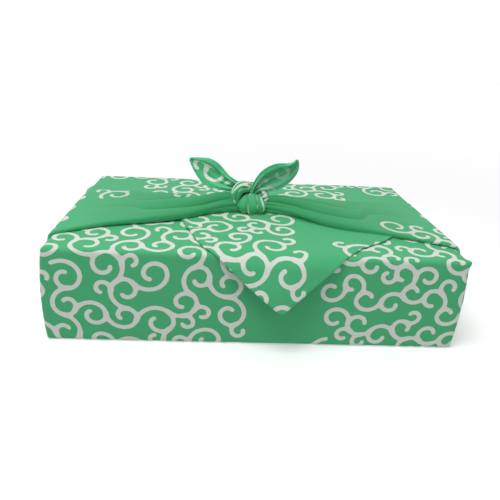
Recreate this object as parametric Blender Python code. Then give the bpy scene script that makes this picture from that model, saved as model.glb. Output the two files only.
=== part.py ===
"""A flat box wrapped in a furoshiki, a square cloth, and tied on top with a square knot.

The cloth lies cornerwise under the box. Its front corner goes over the top first and is tucked in.
Its back corner comes over that and hangs down the front as a pointed flap. Its left and right
corners are folded in along the ends, gathered over the top and knotted, and their tips stand up as
two ears. It is one piece of cloth, so it is one solid, and the solid fills the space of the hidden
layers and the box. Metres, +Z up, +X to the right, -Y to the front, origin under the middle of all
that shows from above, the hanging flap with it.
"""
import math

import bmesh
import bpy
from mathutils import Vector

MM = 0.001

# The wrapped box, measured over the cloth
WRAP_WIDTH = 303.0
WRAP_DEPTH = 191.0
TOP_HEIGHT = 72.0
LAYER = 1.7              # one more layer of cloth, with the air under it
EDGE_ROUND = 2.8
END_PINCH = 0.4          # how far the ends are drawn in at half height
SINK = 1.3               # how far each added layer reaches into what it lies on

CORE_END = WRAP_WIDTH / 2 - LAYER
CORE_FRONT = -WRAP_DEPTH / 2 + LAYER
CORE_BACK = WRAP_DEPTH / 2 - LAYER

# The flap bends down from the top and hangs a little off the front face
FLAP_FOOT = CORE_FRONT + 5.8
FLAP_BEND = 12.0         # radius of the bend
FLAP_LEAN = 15.0         # degrees between the hanging flap and the front face
MIDDLE_SHIFT = 6.7       # the box stands back by this much, so that box and flap are centred

# The back corner of the cloth: up the back and over the top, as far as the flap's foot.
# y and z lie on the surface under it, tilt turns its outer side from up (0) to the front (90).
BACK_CORNER_COLUMNS = ("y", "z", "tilt", "left", "right", "lift")
BACK_CORNER = (
    (CORE_BACK, 0.8, -90, -146.0, 146.0, -2.3),
    (CORE_BACK, 5.0, -90, -146.0, 146.0, 0.0),
    (CORE_BACK, 36.0, -90, -145.0, 145.0, 0.4),
    (CORE_BACK, TOP_HEIGHT - 4.5, -90, -147.5, 147.5, 0.0),
    (CORE_BACK - 0.8, TOP_HEIGHT - 0.8, -45, -147.5, 147.5, 0.0),
    (CORE_BACK - 4.0, TOP_HEIGHT, 0, -147.5, 147.5, 0.0),
    (59.0, TOP_HEIGHT, 0, -147.5, 147.5, 0.4),
    (30.0, TOP_HEIGHT, 0, -147.0, 147.5, 0.7),
    (1.0, TOP_HEIGHT, 0, -104.0, 139.0, 0.8),
    (-17.0, TOP_HEIGHT, 0, -73.0, 128.5, 0.7),
    (-30.0, TOP_HEIGHT, 0, -60.0, 119.5, 0.5),
    (-46.0, TOP_HEIGHT, 0, -54.6, 110.0, 0.3),
    (-60.0, TOP_HEIGHT, 0, -49.5, 97.4, 0.2),
    (-69.0, TOP_HEIGHT, 0, -46.2, 86.5, 0.1),
    (-77.0, TOP_HEIGHT, 0, -43.0, 76.0, 0.1),
)

# The flap, by the length of cloth from its foot. under is how deep its underside lies.
FLAP_COLUMNS = ("run", "left", "right", "lift", "under")
FLAP = (
    (0.0, -38.3, 66.5, 0.0, SINK),
    (4.0, -33.9, 62.3, 0.0, SINK),
    (8.0, -29.4, 58.1, 0.0, 0.4),
    (12.0, -25.0, 53.9, 0.1, 0.4),
    (15.7, -21.1, 50.1, 0.2, 0.4),
    (24.0, -12.3, 41.2, 0.5, 0.4),
    (32.0, -2.8, 32.5, 0.7, 0.4),
    (40.0, 7.2, 23.8, 0.6, 0.4),
    (44.0, 12.2, 19.6, 0.4, 0.4),
    (46.3, 15.1, 18.4, 0.2, 0.4),
)

# A side corner of the cloth: up the end of the box, over its edge, then gathered to the knot.
# out is the distance from the middle, puff the height of the gathered roll over the layers
# under it, crease the depth of the valley between its two folds, valley where that lies from the
# front edge (0) to the back one (1), and undercut how far its foot stands back.
BAND_COLUMNS = ("out", "z", "tilt", "front", "back", "edge", "puff", "crease", "valley", "undercut")
LEFT_BAND = (
    (CORE_END, 0.8, 90, -88.8, 88.8, -0.6, 0.0, 0.0, 0.50, 0.0),
    (CORE_END, 5.0, 90, -88.5, 86.8, 1.4, 0.0, 0.0, 0.50, 0.0),
    (CORE_END, 20.0, 90, -84.2, 77.5, 1.7, 0.4, 0.0, 0.50, 0.0),
    (CORE_END, 44.0, 90, -78.1, 59.2, 1.7, 0.6, 0.0, 0.50, 0.0),
    (CORE_END, 66.5, 90, -70.8, 43.7, 1.7, 0.2, 0.0, 0.50, 0.0),
    (CORE_END - 1.0, TOP_HEIGHT - 1.0, 45, -68.8, 41.2, 2.0, 0.0, 0.0, 0.50, 0.0),
    (CORE_END - 4.5, TOP_HEIGHT, 0, -66.8, 39.7, 2.8, 0.0, 0.0, 0.50, 0.0),
    (131.0, TOP_HEIGHT, 0, -58.6, 38.7, 3.0, 0.5, 0.2, 0.56, 0.3),
    (118.0, TOP_HEIGHT, 0, -51.6, 37.7, 3.2, 1.0, 0.4, 0.56, 0.6),
    (101.0, TOP_HEIGHT, 0, -45.6, 35.2, 3.4, 1.8, 0.8, 0.56, 1.0),
    (86.0, TOP_HEIGHT, 0, -41.3, 32.2, 3.6, 2.9, 1.2, 0.57, 1.6),
    (69.0, TOP_HEIGHT, 0, -35.1, 26.2, 3.8, 4.6, 2.0, 0.58, 2.4),
    (52.5, TOP_HEIGHT, 0, -27.4, 18.2, 4.0, 7.0, 3.0, 0.59, 3.2),
    (38.0, TOP_HEIGHT, 0, -19.2, 11.0, 4.2, 10.2, 3.6, 0.61, 3.6),
    (27.0, TOP_HEIGHT, 0, -13.9, 6.2, 4.8, 12.2, 3.6, 0.63, 3.2),
    (18.0, TOP_HEIGHT, 0, -11.6, 3.7, 5.6, 11.4, 2.6, 0.65, 2.4),
    (9.0, TOP_HEIGHT, 0, -10.4, 3.2, 6.0, 8.4, 1.0, 0.65, 0.0),
)
RIGHT_BAND = (
    (CORE_END, 0.8, 90, -88.8, 88.8, -0.6, 0.0, 0.0, 0.50, 0.0),
    (CORE_END, 5.0, 90, -88.7, 86.8, 1.4, 0.0, 0.0, 0.50, 0.0),
    (CORE_END, 20.0, 90, -85.5, 77.5, 1.7, 0.3, 0.0, 0.50, 0.0),
    (CORE_END, 44.0, 90, -80.6, 58.2, 1.7, 0.5, 0.0, 0.50, 0.0),
    (CORE_END, 66.5, 90, -73.6, 42.2, 1.7, 0.2, 0.0, 0.50, 0.0),
    (CORE_END - 1.0, TOP_HEIGHT - 1.0, 45, -71.4, 39.2, 2.0, 0.0, 0.0, 0.50, 0.0),
    (CORE_END - 4.5, TOP_HEIGHT, 0, -68.4, 36.7, 2.8, 0.0, 0.0, 0.50, 0.0),
    (129.0, TOP_HEIGHT, 0, -60.6, 33.7, 3.0, 0.6, 0.2, 0.56, 0.3),
    (115.0, TOP_HEIGHT, 0, -55.0, 31.5, 3.2, 1.2, 0.5, 0.56, 0.6),
    (100.0, TOP_HEIGHT, 0, -50.6, 29.2, 3.4, 2.0, 0.9, 0.57, 1.2),
    (88.0, TOP_HEIGHT, 0, -47.9, 27.2, 3.6, 3.0, 1.4, 0.58, 2.0),
    (75.0, TOP_HEIGHT, 0, -44.2, 25.2, 3.8, 4.2, 2.0, 0.59, 3.0),
    (60.0, TOP_HEIGHT, 0, -36.8, 21.2, 4.2, 5.8, 2.6, 0.60, 3.8),
    (44.0, TOP_HEIGHT, 0, -26.4, 16.2, 4.8, 7.8, 3.2, 0.62, 4.4),
    (30.0, TOP_HEIGHT, 0, -18.4, 11.2, 5.4, 9.4, 3.4, 0.63, 4.2),
    (18.0, TOP_HEIGHT, 0, -14.4, 7.6, 5.8, 9.8, 3.0, 0.64, 3.4),
    (8.0, TOP_HEIGHT, 0, -11.8, 4.4, 6.0, 8.6, 1.6, 0.64, 1.0),
    (-1.0, TOP_HEIGHT, 0, -10.6, 3.8, 5.4, 6.6, 0.6, 0.64, 0.0),
)

# The square knot, as the three folds of cloth that cross in it. Each is a short fat roll.
# half_width runs along the fold's broad side, half_depth from its inside to its outside.
KNOT_COLUMNS = ("x", "y", "z", "half_width", "half_depth")
FRONT_FOLD = (
    (-3.5, -1.0, 88.9, 3.4, 3.4),
    (-3.3, -7.0, 90.5, 5.6, 4.2),
    (-3.1, -11.3, 87.5, 9.6, 5.0),
    (-2.9, -12.8, 82.5, 11.6, 5.6),
    (-2.9, -10.6, 78.1, 11.2, 5.4),
    (-2.9, -4.5, 75.9, 8.4, 4.6),
)
LEFT_FOLD = (
    (-3.6, -1.0, 90.9, 4.0, 3.6),
    (-6.9, -2.0, 94.7, 6.4, 4.6),
    (-11.4, -3.0, 94.5, 7.6, 5.2),
    (-15.1, -3.4, 90.7, 8.0, 5.2),
    (-15.9, -3.6, 85.3, 7.6, 4.8),
    (-14.3, -3.4, 79.9, 6.4, 4.2),
)
REAR_FOLD = (
    (-12.2, 5.0, 83.9, 6.0, 5.0),
    (-6.1, 7.6, 85.9, 8.0, 5.4),
    (0.5, 6.8, 86.5, 8.2, 5.4),
    (5.7, 3.0, 85.7, 6.6, 5.2),
    (6.1, -3.0, 84.7, 5.4, 4.8),
    (3.6, -7.5, 85.4, 4.4, 4.2),
)

# The two ears: flat leaves of cloth from the knot out to the cloth's corners. half_width runs
# across the leaf, cup bends its edges to the front, and roll turns the leaf about its length.
EAR_COLUMNS = ("x", "y", "z", "half_width", "cup", "roll")
LEFT_EAR = (
    (-9.7, 0.5, 90.9, 3.4, 2.0, 4),
    (-17.2, 1.6, 94.2, 4.7, 2.2, 5),
    (-22.6, 2.0, 95.8, 6.0, 2.4, 6),
    (-28.2, 2.4, 97.9, 7.8, 2.2, 8),
    (-33.9, 2.6, 101.3, 9.6, 1.8, 8),
    (-38.8, 2.2, 105.1, 10.2, 1.6, 8),
    (-43.7, 1.6, 108.7, 9.2, 1.4, 8),
    (-47.7, 1.0, 111.3, 7.0, 1.0, 6),
    (-51.6, 0.6, 113.8, 4.2, 0.6, 6),
    (-55.1, 0.0, 116.2, 1.2, 0.2, 4),
)
RIGHT_EAR = (
    (-3.5, -4.0, 88.9, 2.4, 1.6, -6),
    (-0.9, -1.8, 92.4, 3.3, 2.2, -6),
    (2.7, -0.6, 95.7, 5.8, 2.8, -8),
    (8.1, 0.6, 99.3, 8.8, 3.4, -8),
    (14.6, 1.4, 102.7, 10.7, 3.8, -8),
    (20.6, 1.8, 105.7, 10.6, 3.8, -8),
    (25.9, 1.4, 108.6, 9.0, 3.2, -8),
    (30.6, 0.8, 111.7, 6.2, 2.4, -8),
    (33.5, 0.4, 114.9, 3.6, 1.2, -6),
    (35.1, 0.0, 118.2, 1.0, 0.3, -6),
)
EAR_THICKNESS = 2.4

CLOTH_GREEN = (0.070, 0.355, 0.130, 1.0)


def rows(columns, table):
    """Give each row of a table as a dictionary of its named columns."""
    return [dict(zip(columns, row)) for row in table]


def cloth_material():
    """Matt green cotton."""
    material = bpy.data.materials.new("green_cotton")
    material.use_nodes = True
    shader = material.node_tree.nodes["Principled BSDF"]
    shader.inputs["Base Color"].default_value = CLOTH_GREEN
    shader.inputs["Roughness"].default_value = 0.9
    shader.inputs["Metallic"].default_value = 0.0
    material.diffuse_color = CLOTH_GREEN
    return material


def add_object(name, bm, material=None):
    """Put a bmesh, worked out in millimetres from the box's middle, into the scene in metres."""
    bmesh.ops.translate(bm, vec=(0, MIDDLE_SHIFT, 0), verts=bm.verts)
    bmesh.ops.scale(bm, vec=(MM, MM, MM), verts=bm.verts)
    bmesh.ops.recalc_face_normals(bm, faces=bm.faces)
    mesh = bpy.data.meshes.new(name)
    bm.to_mesh(mesh)
    bm.free()
    mesh.shade_smooth()
    obj = bpy.data.objects.new(name, mesh)
    bpy.context.scene.collection.objects.link(obj)
    if material:
        mesh.materials.append(material)
    return obj


def loft(name, rings):
    """Skin a closed shape over rings of points, and cap its two ends."""
    bm = bmesh.new()
    loops = [[bm.verts.new(point) for point in ring] for ring in rings]
    count = len(rings[0])
    for near, far in zip(loops, loops[1:]):
        for i in range(count):
            j = (i + 1) % count
            bm.faces.new((near[i], near[j], far[j], far[i]))
    bm.faces.new(loops[0])
    bm.faces.new(loops[-1])
    return add_object(name, bm)


def pinch(z):
    """How far the ends of the box are drawn in at a height, in millimetres."""
    return END_PINCH * math.sin(math.pi * min(1.0, max(0.0, z / TOP_HEIGHT)))


def unevenness(x, y):
    """How far the cloth on the top rises or sinks at a place, in millimetres."""
    slow = 0.45 * math.sin(x / 37.0 + 0.8) * math.sin(y / 29.0 + 0.4)
    quick = 0.20 * math.sin(x / 15.0 - y / 19.0)
    return slow + quick


def wrapped_box(material):
    """The box and the cloth drawn tight round it: slightly crowned faces and soft edges."""
    bm = bmesh.new()
    bmesh.ops.create_cube(bm, size=1.0)
    for axis, cuts in ((0, 11), (1, 7), (2, 3)):
        along = [e for e in bm.edges if abs((e.verts[0].co - e.verts[1].co)[axis]) > 0.9]
        bmesh.ops.subdivide_edges(bm, edges=along, cuts=cuts, use_grid_fill=True)
    for vert in bm.verts:
        vert.co.x *= 2 * CORE_END
        vert.co.y = vert.co.y * (CORE_BACK - CORE_FRONT) + (CORE_BACK + CORE_FRONT) / 2
        vert.co.z = (vert.co.z + 0.5) * TOP_HEIGHT
    box_edges = [e for e in bm.edges if len(e.link_faces) == 2 and e.calc_face_angle() > 1.0]
    bmesh.ops.bevel(bm, geom=box_edges, offset=EDGE_ROUND, segments=3, profile=0.5,
                    affect="EDGES", material=-1)
    for vert in bm.verts:
        x, y, z = vert.co
        inner_x = max(0.0, 1 - abs(x / CORE_END) ** 3)
        inner_y = max(0.0, 1 - abs(y / CORE_BACK) ** 3)
        inner_z = max(0.0, 1 - abs(2 * z / TOP_HEIGHT - 1) ** 3)
        if z > TOP_HEIGHT - 0.01:
            vert.co.z += unevenness(x, y) * inner_x * inner_y
        vert.co.y += math.copysign(0.7, y) * inner_x * inner_z * (abs(y) > CORE_BACK - 0.01)
        vert.co.x -= x / CORE_END * pinch(z)
    return add_object("furoshiki", bm, material)


def flap_rows():
    """Lay the flap's rows round its bend, then straight down and a little forwards."""
    placed = rows(FLAP_COLUMNS, FLAP)
    for row in placed:
        row["tilt"] = min(90.0 - FLAP_LEAN, math.degrees(row["run"] / FLAP_BEND))
        tilt = math.radians(row["tilt"])
        straight = row["run"] - tilt * FLAP_BEND
        row["y"] = FLAP_FOOT - FLAP_BEND * math.sin(tilt) - straight * math.cos(tilt)
        row["z"] = TOP_HEIGHT - FLAP_BEND * (1 - math.cos(tilt)) - straight * math.sin(tilt)
    return placed


def back_corner():
    """The layer that comes over the back and ends in the flap, which hangs before the front."""
    across = 16
    rings = []
    for row in rows(BACK_CORNER_COLUMNS, BACK_CORNER) + flap_rows():
        tilt = math.radians(row["tilt"])
        outward = Vector((0, -math.sin(tilt), math.cos(tilt)))
        outer, inner = [], []
        for i in range(across + 1):
            share = i / across
            x = row["left"] + (row["right"] - row["left"]) * share
            edge_fall = 0.35 * LAYER * (abs(2 * share - 1) ** 12)
            swell = row["lift"] * math.sin(math.pi * share)
            foot = Vector((x, row["y"], row["z"]))
            wave = unevenness(x, row["y"]) * math.cos(tilt)
            outer.append(foot + outward * (LAYER + swell + wave - edge_fall))
            inner.append(foot - outward * row.get("under", SINK))
        rings.append(outer + inner[::-1])
    return loft("back_corner_layer", rings)


def band(name, side, table):
    """A side corner of the cloth, from the foot of the box's end to the knot."""
    across = 18
    rings = []
    for row in rows(BAND_COLUMNS, table):
        tilt = math.radians(row["tilt"])
        foot_x = side * (row["out"] - pinch(row["z"]))
        outward = Vector((side * math.sin(tilt), 0, math.cos(tilt)))
        outer, inner = [], []
        for i in range(across + 1):
            share = i / across
            y = row["front"] + (row["back"] - row["front"]) * share
            crown = math.sin(math.pi * min(1.0, max(0.0, share))) ** 0.55
            valley = math.exp(-((share - row["valley"]) / 0.11) ** 2)
            height = row["edge"] + row["puff"] * crown - row["crease"] * valley
            outer.append(Vector((foot_x, y, row["z"])) + outward * height)
            foot_y = y + row["undercut"] * (1 - 2 * share)
            inner.append(Vector((foot_x, foot_y, row["z"])) - outward * SINK)
        rings.append(outer + inner[::-1])
    return loft(name, rings)


def knot_fold(name, table, broad_way):
    """One fat fold of the knot: oval rings across a short curved path, broad in one direction."""
    around = 14
    places = rows(KNOT_COLUMNS, table)
    middles = [Vector((row["x"], row["y"], row["z"])) for row in places]
    rings = []
    for index, row in enumerate(places):
        ahead = middles[min(index + 1, len(middles) - 1)]
        behind = middles[max(index - 1, 0)]
        along = (ahead - behind).normalized()
        outward = along.cross(Vector(broad_way)).normalized()
        broad = outward.cross(along).normalized()
        ring = []
        for i in range(around):
            turn = 2 * math.pi * i / around
            pleat = 1 + 0.05 * math.cos(5 * turn + 0.6)
            ring.append(middles[index] + broad * (row["half_width"] * pleat * math.cos(turn))
                        + outward * (row["half_depth"] * pleat * math.sin(turn)))
        rings.append(ring)
    return loft(name, rings)


def ear(name, table):
    """A leaf of cloth, thin, bent along its length and cupped across it."""
    across = 10
    places = rows(EAR_COLUMNS, table)
    middles = [Vector((row["x"], row["y"], row["z"])) for row in places]
    rings = []
    for index, row in enumerate(places):
        ahead = middles[min(index + 1, len(middles) - 1)]
        behind = middles[max(index - 1, 0)]
        along = (ahead - behind).normalized()
        facing = (Vector((0, -1, 0)) - along * along.dot(Vector((0, -1, 0)))).normalized()
        width_way = facing.cross(along).normalized()
        if width_way.z < 0:
            width_way.negate()
        roll = math.radians(row["roll"])
        width_way = width_way * math.cos(roll) + facing * math.sin(roll) * -1
        facing = (width_way.cross(along)).normalized()
        if facing.y > 0:
            facing.negate()
        front, back = [], []
        for i in range(across + 1):
            share = 2 * i / across - 1
            lean = row["cup"] * share * share + 0.25 * row["cup"] * math.cos(3 * math.pi * share)
            spot = middles[index] + width_way * (row["half_width"] * share) + facing * lean
            half = EAR_THICKNESS / 2 * (1 - 0.55 * abs(share) ** 6)
            front.append(spot + facing * half)
            back.append(spot - facing * half)
        rings.append(front + back[::-1])
    return loft(name, rings)


def join(obj, piece):
    """Make a piece one with the object, which keeps it as a Boolean union."""
    piece.hide_render = True
    piece.display_type = "WIRE"
    modifier = obj.modifiers.new("with_" + piece.name, "BOOLEAN")
    modifier.operation = "UNION"
    modifier.solver = "EXACT"
    modifier.object = piece


def main():
    for obj in list(bpy.data.objects):
        bpy.data.objects.remove(obj, do_unlink=True)
    wrap = wrapped_box(cloth_material())
    join(wrap, back_corner())
    join(wrap, band("left_band", -1, LEFT_BAND))
    join(wrap, band("right_band", 1, RIGHT_BAND))
    join(wrap, ear("left_ear", LEFT_EAR))
    join(wrap, ear("right_ear", RIGHT_EAR))
    join(wrap, knot_fold("rear_fold", REAR_FOLD, (0, 0, 1)))
    join(wrap, knot_fold("left_fold", LEFT_FOLD, (0, 1, 0)))
    join(wrap, knot_fold("front_fold", FRONT_FOLD, (1, 0, 0)))


main()
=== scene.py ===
import math
import random
from collections import namedtuple

import bmesh
import bpy
import numpy as np
from mathutils import Matrix, Vector


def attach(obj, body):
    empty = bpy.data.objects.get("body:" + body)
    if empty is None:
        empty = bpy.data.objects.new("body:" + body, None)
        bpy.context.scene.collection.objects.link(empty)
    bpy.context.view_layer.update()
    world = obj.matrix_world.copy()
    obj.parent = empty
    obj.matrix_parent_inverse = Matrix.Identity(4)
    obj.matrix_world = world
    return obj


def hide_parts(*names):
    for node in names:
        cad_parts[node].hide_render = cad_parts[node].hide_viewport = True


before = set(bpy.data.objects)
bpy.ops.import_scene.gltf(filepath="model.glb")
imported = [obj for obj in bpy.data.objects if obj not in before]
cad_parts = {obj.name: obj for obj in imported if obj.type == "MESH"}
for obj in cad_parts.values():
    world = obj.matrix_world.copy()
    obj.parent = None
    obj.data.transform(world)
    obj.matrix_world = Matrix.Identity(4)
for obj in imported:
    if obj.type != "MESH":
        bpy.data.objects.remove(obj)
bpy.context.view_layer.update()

MM = 0.001
MIDDLE_SHIFT = 6.7

# The print: a traditional arabesque of curling vines, dyed on the flat cloth before it is tied.
# It grows curl by curl. Each curl leaves an older one on a shared tangent and turns the other way,
# opens out, rounds and winds in, and it keeps its distance from every stroke it isn't joined to.
# u runs to the right and v to the back on the flat cloth, from the middle of the box.
HALF_DIAGONAL = 485.0
STROKE = 3.2
FILLET = 1.8
STROKE_SPACING = 5.9
JOINT_LENGTH = 8.4
OPENING_ANGLE = math.radians(115.0)
CURL_KIND_COLUMNS = ("least_radius", "most_radius", "opening", "sweep", "steady", "inner")
CURL_KINDS = (
    (8.6, 11.2, 0.42, 400.0, 190.0, 0.34),
    (6.6, 8.4, 0.34, 320.0, 165.0, 0.48),
    (4.6, 5.8, 0.24, 262.0, 130.0, 0.66),
)
PRINT_ZONES = {
    "front left": (-252.0, -8.0, -236.0, -92.0),
    "front right": (43.0, 252.0, -236.0, -92.0),
    "under the box": (-140.0, 140.0, -92.0, 92.0),
    "back left": (-252.0, -22.0, 92.0, 178.0),
    "back right": (24.0, 252.0, 92.0, 178.0),
    "rear top left": (-104.0, -24.0, 178.0, 262.0),
    "rear top right": (26.0, 92.0, 178.0, 250.0),
    "flap": (-62.0, 33.0, 262.0, 425.0),
    "flap right edge": (52.0, 110.0, 322.0, 358.0),
    "left end": (-224.0, -150.0, -92.0, 92.0),
    "left mark": (-262.0, -228.0, 6.0, 44.0),
    "left rear fold": (-345.0, -300.0, 0.0, 26.0),
    "right rear corner": (115.0, 150.0, 167.0, 200.0),
    "right end": (150.0, 224.0, -92.0, 92.0),
    "right front corner": (218.0, 276.0, -92.0, -26.0),
    "left knot and ear": (-485.0, -372.0, -60.0, 60.0),
    "right knot and ear": (372.0, 485.0, -60.0, 60.0),
}
Curl = namedtuple("Curl", "points swept turn")


def cells(points):
    """The one-millimetre cells of the flat cloth that points lie in, as two index arrays."""
    index = np.clip(np.rint(points + HALF_DIAGONAL + 20), 0, 2 * HALF_DIAGONAL + 39).astype(int)
    return index[:, 0], index[:, 1]


def new_curl(spot, heading, kind, radius, turn, step):
    """A curl that leaves spot in the direction heading and turns left (1) or right (-1)."""
    sweep, steady = math.radians(kind["sweep"]), math.radians(kind["steady"])
    swept = np.linspace(0.0, sweep, int(radius * sweep / step) + 2)
    opened = 1 + kind["opening"] * np.clip(1 - swept / OPENING_ANGLE, 0.0, 1.0) ** 2
    wound = np.clip((swept - steady) / (sweep - steady), 0.0, 1.0)
    reach = radius * opened * (1 - (1 - kind["inner"]) * wound)
    lean = math.atan(2 * kind["opening"] / OPENING_ANGLE / (1 + kind["opening"]))
    start = heading - turn * (math.pi / 2 + lean)
    centre = spot - reach[0] * np.array((math.cos(start), math.sin(start)))
    angle = start + turn * swept
    points = centre + np.column_stack((reach * np.cos(angle), reach * np.sin(angle)))
    return Curl(points, swept, turn)


def grow_print(chance):
    """Grow the vines over all zones of the cloth, and give the middle line of each stroke."""
    across = int(2 * HALF_DIAGONAL + 40)
    free = np.zeros((across, across), bool)
    edge = np.abs(np.arange(across) - HALF_DIAGONAL - 20)
    on_cloth = edge[:, None] + edge[None, :] < HALF_DIAGONAL - 3
    for low_u, high_u, low_v, high_v in PRINT_ZONES.values():
        (left, right), (bottom, top) = cells(np.array(((low_u, low_v), (high_u, high_v))))
        free[left:right, bottom:top] = True
    free &= on_cloth
    reach = int(STROKE_SPACING) + 1
    grid = np.mgrid[-reach:reach + 1, -reach:reach + 1].reshape(2, -1)
    disc = grid[:, np.hypot(grid[0], grid[1]) <= STROKE_SPACING]
    kinds = [dict(zip(CURL_KIND_COLUMNS, row)) for row in CURL_KINDS]
    curls = []
    lines = []

    def try_curl(spot, heading, kind, turn, joint):
        radius = chance.uniform(kind["least_radius"], kind["most_radius"])
        curl = new_curl(spot, heading, kind, radius, turn, 1.5)
        clear = np.hypot(*(curl.points - spot).T) > joint
        if not free[cells(curl.points[clear])].all():
            return False
        u, v = cells(curl.points)
        free[u[:, None] + disc[0], v[:, None] + disc[1]] = False
        curls.append(curl)
        lines.append(new_curl(spot, heading, kind, radius, turn, 0.5).points)
        return True

    for round_index in range(3):
        for zone in PRINT_ZONES.values():
            for kind in kinds:
                for attempt in range(30):
                    spot = np.array((chance.uniform(*zone[:2]), chance.uniform(*zone[2:])))
                    if try_curl(spot, chance.uniform(0, 2 * math.pi), kind, chance.choice((-1, 1)), 0.0):
                        break
                index = 0
                while index < len(curls):
                    parent = curls[index]
                    index += 1
                    low = np.searchsorted(parent.swept, math.radians(45))
                    high = np.searchsorted(parent.swept, math.radians(250))
                    middle = parent.points[(low + high) // 2]
                    if not (zone[0] - 20 < middle[0] < zone[1] + 20
                            and zone[2] - 20 < middle[1] < zone[3] + 20):
                        continue
                    for attempt in range(12):
                        place = chance.randint(low, min(high, len(parent.points) - 2))
                        ahead = parent.points[place + 1] - parent.points[place - 1]
                        heading = math.atan2(ahead[1], ahead[0])
                        try_curl(parent.points[place], heading, kind, -parent.turn, JOINT_LENGTH)
    return lines


def print_distance(points):
    """How far points of the flat cloth lie from the middle of the nearest stroke, joints filled."""
    distance = np.full(len(points), 50.0)
    for line in VINE_LINES:
        low = line.min(axis=0) - 4.5
        high = line.max(axis=0) + 4.5
        near = np.nonzero((points[:, 0] > low[0]) & (points[:, 0] < high[0])
                          & (points[:, 1] > low[1]) & (points[:, 1] < high[1]))[0]
        if not len(near):
            continue
        spots = points[near]
        gap = np.sqrt(((spots[:, None, :] - line[None, :, :]) ** 2).sum(axis=2).min(axis=1))
        here = distance[near]
        share = np.clip(0.5 + 0.5 * (gap - here) / FILLET, 0.0, 1.0)
        distance[near] = gap * (1 - share) + here * share - FILLET * share * (1 - share)
    return distance


VINE_LINES = grow_print(random.Random(11))


# The finish: plain-woven cotton, dyed green, with the vines left nearly white. The threads run
# along the cloth's edges, so at 45 degrees to the box. The wrong side shows a paler, duller print.
# Where the cloth is gathered, in its creases and beside overlapping cloth, shade is painted into its
# colour by a per-corner attribute.
class Number:
    """A number on its way through a finish's nodes, used in plain arithmetic."""

    def __init__(self, finish, socket):
        self.finish = finish
        self.socket = socket

    def join(self, operation, first, second=0.0):
        node = self.finish.node("ShaderNodeMath", {"operation": operation}, {0: first, 1: second})
        return Number(self.finish, node.outputs[0])

    def __add__(self, other):
        return self.join("ADD", self, other)

    def __radd__(self, other):
        return self.join("ADD", other, self)

    def __sub__(self, other):
        return self.join("SUBTRACT", self, other)

    def __rsub__(self, other):
        return self.join("SUBTRACT", other, self)

    def __mul__(self, other):
        return self.join("MULTIPLY", self, other)

    def __rmul__(self, other):
        return self.join("MULTIPLY", other, self)

    def __truediv__(self, other):
        return self.join("DIVIDE", self, other)

    def sine(self):
        return self.join("SINE", self)

    def clamped(self):
        return self.join("MINIMUM", self.join("MAXIMUM", self, 0.0), 1.0)


class Finish:
    """A material in the making, with one way to add a node to it."""

    def __init__(self, name):
        self.material = bpy.data.materials.new(name)
        self.material.use_nodes = True
        self.tree = self.material.node_tree
        self.shader = self.tree.nodes["Principled BSDF"]

    def node(self, kind, settings=None, sockets=None):
        node = self.tree.nodes.new(kind)
        for key, value in (settings or {}).items():
            setattr(node, key, value)
        for key, value in (sockets or {}).items():
            self.feed(node.inputs[key], value)
        return node

    def feed(self, socket, value):
        if isinstance(value, Number):
            value = value.socket
        if isinstance(value, bpy.types.NodeSocket):
            self.tree.links.new(value, socket)
        else:
            socket.default_value = value

    def mix(self, factor, first, second, blend="MIX"):
        settings = {"data_type": "RGBA", "blend_type": blend}
        node = self.node("ShaderNodeMix", settings, {0: factor, 6: first, 7: second})
        return node.outputs[2]


FOLD_SHADE = (0.30, 0.52, 0.38, 1.0)
BIAS = 0.7071
THREAD_SPACING = 0.9
STROKE_WANDER = 0.35
STROKE_SOFTNESS = 0.22


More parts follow.
